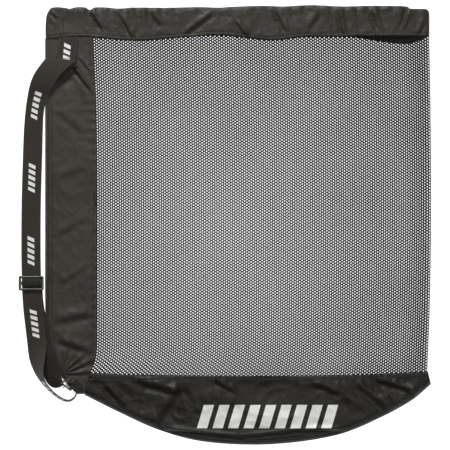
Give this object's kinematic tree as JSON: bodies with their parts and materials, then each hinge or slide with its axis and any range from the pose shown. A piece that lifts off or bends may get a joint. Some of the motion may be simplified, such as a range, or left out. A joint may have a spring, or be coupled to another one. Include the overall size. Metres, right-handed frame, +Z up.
{
  "type": "mesh ball bag",
  "caption": "Flat-lying black mesh ball bag with nylon side and bottom panels, a gathered mouth hem and a webbing shoulder strap with a slider.",
  "frame": {"origin": "centre of the footprint, on the surface that the bag lies on", "axes": "+Z up through the bag's thickness, +Y from the curved bottom to the mouth, +X from the strap's side to the fold of the mesh"},
  "size_m": [0.64, 0.678, 0.0306],
  "materials": {
    "mesh": "matte",
    "side_nylon": "matte",
    "bottom_nylon": "satin",
    "tape": "matte",
    "webbing": "matte",
    "cord": "matte",
    "slider_plastic": "gloss",
    "nickel": "polished",
    "print": "matte"
  },
  "bodies": {
    "bag": {"front_mesh": "mesh", "back_mesh": "mesh", "mesh_side_fold": "mesh", "front_side_panel": "side_nylon", "back_side_panel": "side_nylon", "side_edge_seam": "side_nylon", "front_hem": "side_nylon", "back_hem": "side_nylon", "hem_left_fold": "side_nylon", "hem_right_fold": "side_nylon", "strap_anchor_patch": "side_nylon", "corner_patch": "side_nylon", "front_bottom_panel": "bottom_nylon", "back_bottom_panel": "bottom_nylon", "bottom_edge_seam": "bottom_nylon", "front_side_tape": "tape", "back_side_tape": "tape", "front_bottom_tape": "tape", "back_bottom_tape": "tape", "drawcord": "cord", "strap_sewn_end": "webbing", "strap_corner_loop": "webbing", "strap_corner_return": "webbing", "grommet_eyelet": "nickel", "grommet_washer": "nickel"},
    "strap": {"strap_front_run": "webbing", "strap_return_run": "webbing"},
    "slider": {"slider_frame": "slider_plastic", "strap_end_loop": "webbing", "strap_over_bar": "webbing"}
  },
  "joints": [
    {"name": "strap_lift", "type": "hinge", "parent": "bag", "child": "strap", "pos_m": [-0.267, 0, 0.0096], "axis": [0.0458, 0.999, 0], "range_deg": [0, 120]},
    {"name": "slider_slide", "type": "slide", "parent": "strap", "child": "slider", "axis": [0, 1, 0], "range_m": [-0.03, 0.18]}
  ]
}
